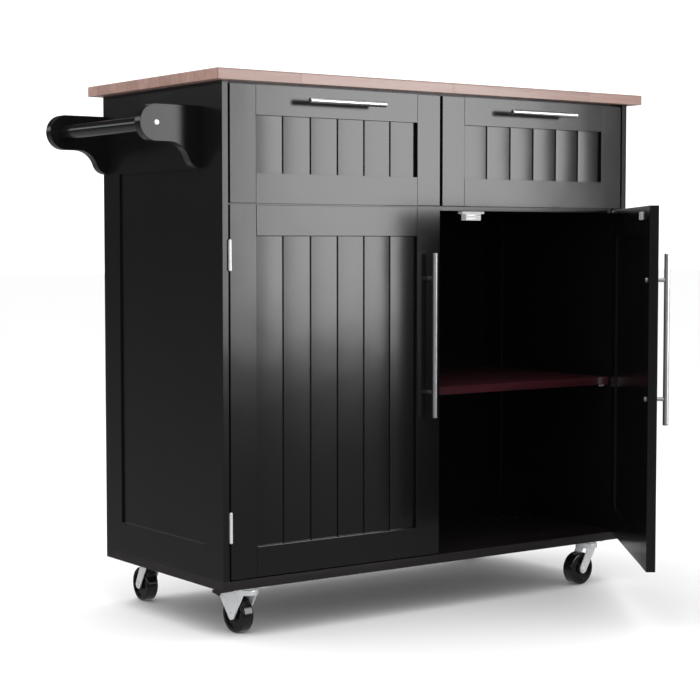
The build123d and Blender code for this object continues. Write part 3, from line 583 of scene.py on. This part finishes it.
def softened(node, finish_name, edge, segments=2, join=0.00001):
    """A copy of a CAD node with its faces joined up and its sharp edges rounded, in place of it."""
    source = frame["nodes"][node]
    only(source)
    bpy.ops.object.duplicate()
    piece = bpy.context.view_layer.objects.active
    piece.name = f"{node}_finished"
    piece.parent = None
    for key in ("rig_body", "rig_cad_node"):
        del piece[key]
    bpy.ops.object.mode_set(mode="EDIT")
    bpy.ops.mesh.select_all(action="SELECT")
    bpy.ops.mesh.remove_doubles(threshold=join)
    bpy.ops.mesh.dissolve_limited(angle_limit=FLAT_ANGLE)
    bpy.ops.object.mode_set(mode="OBJECT")
    if piece.data.has_custom_normals:
        bpy.ops.mesh.customdata_custom_splitnormals_clear()
    if edge:
        apply_modifier(
            piece, "BEVEL", width=edge, segments=segments, limit_method="ANGLE", angle_limit=EASED_ANGLE
        )
    only(piece)
    bpy.ops.object.shade_smooth_by_angle(angle=SMOOTH_ANGLE)
    apply_modifier(piece, "WEIGHTED_NORMAL", mode="FACE_AREA", weight=100, keep_sharp=True)
    dress(piece, finish_name)
    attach(piece, NODE_BODY[node])
    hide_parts(node)
    return piece


def joint_named(name):
    """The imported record's entry for a joint."""
    return next(joint for joint in frame["joints"] if joint["name"] == name)


def fitting(piece, name, finish_name, body):
    """Names, smooths and dresses a new piece, and puts it on its body."""
    piece.name = name
    only(piece)
    bpy.ops.object.shade_smooth_by_angle(angle=SMOOTH_ANGLE)
    dress(piece, finish_name)
    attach(piece, body)
    return piece


def eased_block(size, place, heading=0.0, edge=0.0003):
    """A small block with eased edges, turned about Z."""
    bpy.ops.object.select_all(action="DESELECT")
    bpy.ops.mesh.primitive_cube_add(size=1.0, location=place, rotation=(0.0, 0.0, heading), scale=size)
    bpy.ops.object.transform_apply(location=True, rotation=True, scale=True)
    bpy.ops.object.mode_set(mode="EDIT")
    bpy.ops.mesh.select_all(action="SELECT")
    bpy.ops.mesh.bevel(offset=edge, segments=2, affect="EDGES")
    bpy.ops.object.mode_set(mode="OBJECT")
    return bpy.context.view_layer.objects.active


def domed_disc(radius, height, place, turn=(0.0, 0.0, 0.0)):
    """A low turned button whose far edge is rounded over, standing on its place."""
    bpy.ops.object.select_all(action="DESELECT")
    bpy.ops.mesh.primitive_cylinder_add(
        vertices=32, radius=radius, depth=height, location=(0.0, 0.0, height / 2)
    )
    bpy.ops.object.transform_apply(location=True, rotation=False, scale=False)
    bpy.ops.object.mode_set(mode="EDIT")
    bpy.ops.mesh.select_mode(type="FACE")
    bpy.ops.mesh.select_all(action="DESELECT")
    bpy.ops.object.mode_set(mode="OBJECT")
    piece = bpy.context.view_layer.objects.active
    for face in piece.data.polygons:
        face.select = face.normal.z > 0.5
    bpy.ops.object.mode_set(mode="EDIT")
    bpy.ops.mesh.bevel(offset=height * 0.8, segments=5, affect="EDGES")
    bpy.ops.object.mode_set(mode="OBJECT")
    piece.location = place
    piece.rotation_euler = turn
    only(piece)
    bpy.ops.object.transform_apply(location=True, rotation=True, scale=False)
    return piece


def joined(pieces):
    """Several pieces as one mesh."""
    only(*pieces)
    bpy.ops.object.join()
    return pieces[0]


class CartStep:
    """What all the operators share."""

    bl_options = {"REGISTER", "UNDO"}


# ---- Operators ----------------------------------------------------------------------------------
class CART_OT_worktop(CartStep, Operator):
    """Lay the staved worktop."""

    bl_idname = "cart.worktop"
    bl_label = "Worktop"

    def execute(self, context):
        softened("worktop", "butcher_block", 0.0)
        return {"FINISHED"}


class CART_OT_case(CartStep, Operator):
    """Finish the boards of the case."""

    bl_idname = "cart.case"
    bl_label = "Case"

    def execute(self, context):
        edge = context.scene.cart_paint.edge
        for side in SIDES:
            softened(f"{side}_side_frame", "lacquer_upright", edge)
            softened(f"{side}_side_panel", "lacquer_upright", 0.0)
        softened("back_frame", "lacquer_crossways", edge)
        softened("back_panels", "lacquer_upright", 0.0)
        softened("base_board", "espresso", edge)
        softened("shelf", "espresso_shelf", edge)
        softened("drawer_deck", "lacquer_crossways", edge)
        softened("drawer_divider", "lacquer_deep", edge)
        softened("top_stretchers", "lacquer_crossways", edge)
        softened("worktop_screws", "zinc", 0.0002)
        softened("shelf_pins", "zinc", 0.0004)
        return {"FINISHED"}


class CART_OT_fronts(CartStep, Operator):
    """Finish the slatted door and drawer fronts."""

    bl_idname = "cart.fronts"
    bl_label = "Door and drawer fronts"

    def execute(self, context):
        edge = context.scene.cart_paint.edge
        for side in SIDES:
            for kind in ("door", "drawer"):
                name = f"{kind}_{side}"
                rails = "lacquer_open_rails" if name == "door_right" else "lacquer_crossways"
                softened(f"{name}_stiles", "lacquer_upright", edge)
                softened(f"{name}_rails", rails, edge)
                softened(f"{name}_panel", "lacquer_upright", edge / 2)
        return {"FINISHED"}


class CART_OT_drawer_boxes(CartStep, Operator):
    """Finish the drawer boxes and their slides."""

    bl_idname = "cart.drawer_boxes"
    bl_label = "Drawer boxes and slides"

    def execute(self, context):
        edge = context.scene.cart_paint.edge
        for side in SIDES:
            softened(f"drawer_{side}_box", "drawer_wood_deep", edge)
            softened(f"drawer_{side}_bottom", "drawer_wood", 0.0)
            softened(f"drawer_{side}_slides", "brushed_slides", 0.0002)
        softened("slide_cabinet_rails", "brushed_slides", 0.0002)
        return {"FINISHED"}


class CART_OT_handles(CartStep, Operator):
    """Finish the bar handles."""

    bl_idname = "cart.handles"
    bl_label = "Bar handles"

    def execute(self, context):
        for side in SIDES:
            softened(f"door_{side}_handle", "brushed_upright", 0.0003)
            softened(f"drawer_{side}_handle", "brushed_crossways", 0.0003)
        return {"FINISHED"}


class CART_OT_hinges(CartStep, Operator):
    """Finish the hinges, the catches and the strike plates."""

    bl_idname = "cart.hinges"
    bl_label = "Hinges and catches"

    def execute(self, context):
        softened("hinge_case_leaves", "zinc", 0.0001)
        for side in SIDES:
            softened(f"door_{side}_hinge_leaves", "zinc", 0.0001)
            softened(f"door_{side}_strike_plate", "zinc", 0.0003)
        softened("magnetic_catches", "white_plastic", 0.0005)
        self.add_pin_tips()
        self.add_pole_plates()
        return {"FINISHED"}

    def add_pin_tips(self):
        """Rounded tips at both ends of each hinge pin."""
        low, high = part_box("hinge_case_leaves")
        for side in SIDES:
            pin = joint_named(f"door_{side}_hinge")["pos_m"]
            tips = []
            for level in (low[2] + HINGE_HEIGHT, high[2]):
                tips.append(domed_disc(PIN_TIP_RADIUS, PIN_TIP_HEIGHT, (pin[0], pin[1], level)))
            for level in (low[2], high[2] - HINGE_HEIGHT):
                place = (pin[0], pin[1], level)
                tips.append(domed_disc(PIN_TIP_RADIUS, PIN_TIP_HEIGHT, place, UPSIDE_DOWN))
            fitting(joined(tips), f"hinge_pin_tips_{side}", "zinc", "root")

    def add_pole_plates(self):
        """Two steel pole plates that stand a hair proud of each catch, and its two screws."""
        low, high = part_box("magnetic_catches")
        strike_low, strike_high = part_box("door_left_strike_plate")
        middle = (strike_low[0] + strike_high[0]) / 2
        level = (strike_low[2] + strike_high[2]) / 2
        plate_y = low[1] + POLE_PLATE_SET_IN
        screw_y = (low[1] + high[1]) / 2
        flange_bottom = high[2] - CATCH_FLANGE_THICKNESS
        for side, x in zip(SIDES, (middle, -middle)):
            plates = [
                eased_block(POLE_PLATE_SIZE, (x, plate_y, level + step), edge=POLE_PLATE_EASE)
                for step in (-POLE_PLATE_OFFSET, POLE_PLATE_OFFSET)
            ]
            fitting(joined(plates), f"catch_pole_plates_{side}", "zinc", "root")
            screws = [
                domed_disc(
                    CATCH_SCREW_RADIUS, CATCH_SCREW_HEIGHT, (x + step, screw_y, flange_bottom), UPSIDE_DOWN
                )
                for step in (-CATCH_SCREW_OFFSET, CATCH_SCREW_OFFSET)
            ]
            fitting(joined(screws), f"catch_screws_{side}", "zinc", "root")


class CART_OT_towel_bar(CartStep, Operator):
    """Finish the towel bar with its brackets and bolts."""

    bl_idname = "cart.towel_bar"
    bl_label = "Towel bar"

    def execute(self, context):
        for place in ("front", "rear"):
            softened(f"towel_bracket_{place}", "lacquer_crossways", 0.0006)
        softened("towel_rod", "lacquer_deep", 0.0)
        softened("towel_rod_bolts", "zinc", 0.0003)
        softened("towel_bracket_dowels", "dowel_wood", 0.0004)
        return {"FINISHED"}


class CART_OT_casters(CartStep, Operator):
    """Finish the casters."""

    bl_idname = "cart.casters"
    bl_label = "Casters"

    def execute(self, context):
        softened("caster_plates", "zinc", 0.0004)
        softened("caster_screws", "zinc", 0.0002)
        for name in CASTERS:
            softened(f"caster_{name}_fork", "zinc", 0.0005)
            softened(f"caster_{name}_wheel", "wheel_black", 0.0004)
        for name in BRAKED:
            softened(f"caster_{name}_pedal", "pedal_black", 0.0008)
            self.add_pedal_ribs(name)
        return {"FINISHED"}

    def add_pedal_ribs(self, name):
        """Grip ribs across the top of a brake pedal."""
        brake = joint_named(f"caster_{name}_brake")
        pivot, line = Vector(brake["pos_m"]), Vector(brake["axis"]).normalized()
        trail = Vector((line.y, -line.x, 0.0))
        heading = math.atan2(trail.y, trail.x)
        ribs = []
        for reach in RIB_REACHES:
            place = pivot + trail * reach + Vector((0.0, 0.0, RIB_RISE + RIB_SLOPE * reach))
            ribs.append(eased_block(RIB_SIZE, place, heading, RIB_EASE))
        fitting(joined(ribs), f"caster_{name}_pedal_ribs", "pedal_black", f"pedal_{name}")


def stage_material(name, colour, roughness):
    """Plain matt material for the studio, with a trace of variation."""
    material, tree, shader = start_finish(name, Roughness=roughness)
    place = wire(tree, "TexCoord").outputs["Object"]
    cloud = wire(tree, "TexNoise", {"Vector": place, "Scale": 0.7, "Detail": 1.0}).outputs[0]
    shade = tuple(channel * 0.985 for channel in colour)
    tree.links.new(blend_colours(tree, cloud, shade, colour), shader["Base Color"])
    return material


def area_light(name, place, target, width, height, power):
    """A rectangular softbox that faces its target."""
    light = bpy.data.lights.new(name, "AREA")
    light.shape = "RECTANGLE"
    light.size = width
    light.size_y = height
    light.energy = power
    lamp = bpy.data.objects.new(name, light)
    bpy.context.scene.collection.objects.link(lamp)
    lamp.location = place
    lamp.rotation_euler = (Vector(target) - Vector(place)).to_track_quat("-Z", "Y").to_euler()
    return lamp


class CART_OT_studio(CartStep, Operator):
    """Set up the floor, the lights and the camera."""

    bl_idname = "cart.studio"
    bl_label = "Studio"

    def execute(self, context):
        self.lay_floor(context)
        self.light_room(context)
        self.hang_softboxes(context.scene.cart_studio)
        self.place_camera(context.scene, context.scene.cart_studio)
        return {"FINISHED"}

    def lay_floor(self, context):
        """A wide pale floor that lights the cart but isn't mirrored in it."""
        bpy.ops.object.select_all(action="DESELECT")
        bpy.ops.mesh.primitive_plane_add(size=60.0, location=(0.0, 0.0, 0.0))
        floor = context.view_layer.objects.active
        floor.name = "studio_floor"
        floor.data.materials.append(stage_material("studio_floor", (0.93, 0.93, 0.93), 0.85))
        floor.visible_glossy = False

    def light_room(self, context):
        """A white room that gloss sees much darker, with a pale foot and a bright strip on the left."""
        world = bpy.data.worlds.new("studio_world")
        context.scene.world = world
        world.use_nodes = True
        tree = world.node_tree
        path = wire(tree, "LightPath").outputs
        way = wire(tree, "TexCoord").outputs["Generated"]
        across, _, rise = wire(tree, "SeparateXYZ", {0: way}).outputs
        low = remap(tree, rise, (-0.35, 0.0), (0.34, 0.055))
        high = remap(tree, rise, (0.0, 0.5), (0.0, -0.02))
        left = remap(tree, across, (-0.25, -0.4))
        above = remap(tree, rise, (0.1, 0.15), (0.0, 1.4))
        below = remap(tree, rise, (0.34, 0.28))
        strip = maths(tree, "MULTIPLY", maths(tree, "MULTIPLY", above, below), left)
        mirrored = maths(tree, "ADD", maths(tree, "ADD", low, high), strip)
        seen = maths(tree, "MULTIPLY", path["Is Camera Ray"], 0.15)
        lit = maths(tree, "ADD", seen, context.scene.cart_studio.room_light)
        sources = {0: path["Is Glossy Ray"], 2: lit, 3: mirrored}
        strength = wire(tree, "Mix", sources, data_type="FLOAT").outputs[0]
        background = {"Color": (1.0, 1.0, 1.0, 1.0), "Strength": strength}
        feed(tree, tree.nodes["Background"], background)

    def hang_softboxes(self, studio):
        """Two tall softboxes that only gloss sees, and a large one overhead."""
        for name, (place, target, width, share) in SOFTBOXES.items():
            power = share * studio.key_glow * math.pi * width * SOFTBOX_HEIGHT
            area_light(name, place, target, width, SOFTBOX_HEIGHT, power).visible_diffuse = False
        area_light("softbox_over", (-0.6, -0.3, 3.4), (0.0, 0.0, 0.0), 4.5, 4.0, studio.overhead_power)

    def place_camera(self, scene, studio):
        """The camera, and plain display colours."""
        camera = bpy.data.cameras.new("studio_camera")
        camera.lens = studio.lens
        camera.clip_end = 200.0
        stand = bpy.data.objects.new("studio_camera", camera)
        scene.collection.objects.link(stand)
        stand.location = studio.camera_place
        stand.rotation_euler = studio.camera_turn
        scene.camera = stand
        scene.view_settings.view_transform = "Standard"
        scene.view_settings.look = "None"


STEPS = (
    CART_OT_studio,
    CART_OT_worktop,
    CART_OT_case,
    CART_OT_fronts,
    CART_OT_drawer_boxes,
    CART_OT_handles,
    CART_OT_hinges,
    CART_OT_towel_bar,
    CART_OT_casters,
)


class CART_PT_sidebar(Panel):
    """Lists the steps that finish the cart."""

    bl_idname = "CART_PT_sidebar"
    bl_label = "Island Cart"
    bl_space_type = "VIEW_3D"
    bl_region_type = "UI"
    bl_category = "Island Cart"

    def draw(self, context):
        for step in STEPS:
            self.layout.operator(step.bl_idname)
        for group in ("cart_paint", "cart_wood", "cart_studio"):
            settings = getattr(context.scene, group)
            box = self.layout.box()
            for name in settings.__annotations__:
                box.prop(settings, name)


SETTINGS = {"cart_paint": CartPaint, "cart_wood": CartWood, "cart_studio": CartStudio}


def register():
    for settings in SETTINGS.values():
        bpy.utils.register_class(settings)
    for name, settings in SETTINGS.items():
        setattr(bpy.types.Scene, name, PointerProperty(type=settings))
    for step in STEPS:
        bpy.utils.register_class(step)
    bpy.utils.register_class(CART_PT_sidebar)


def unregister():
    bpy.utils.unregister_class(CART_PT_sidebar)
    for step in reversed(STEPS):
        bpy.utils.unregister_class(step)
    for name in SETTINGS:
        delattr(bpy.types.Scene, name)
    for settings in reversed(SETTINGS.values()):
        bpy.utils.unregister_class(settings)


def main():
    """Registers the add-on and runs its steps."""
    register()
    for step in STEPS:
        group, name = step.bl_idname.split(".")
        getattr(getattr(bpy.ops, group), name)()


if __name__ == "__main__":
    main()
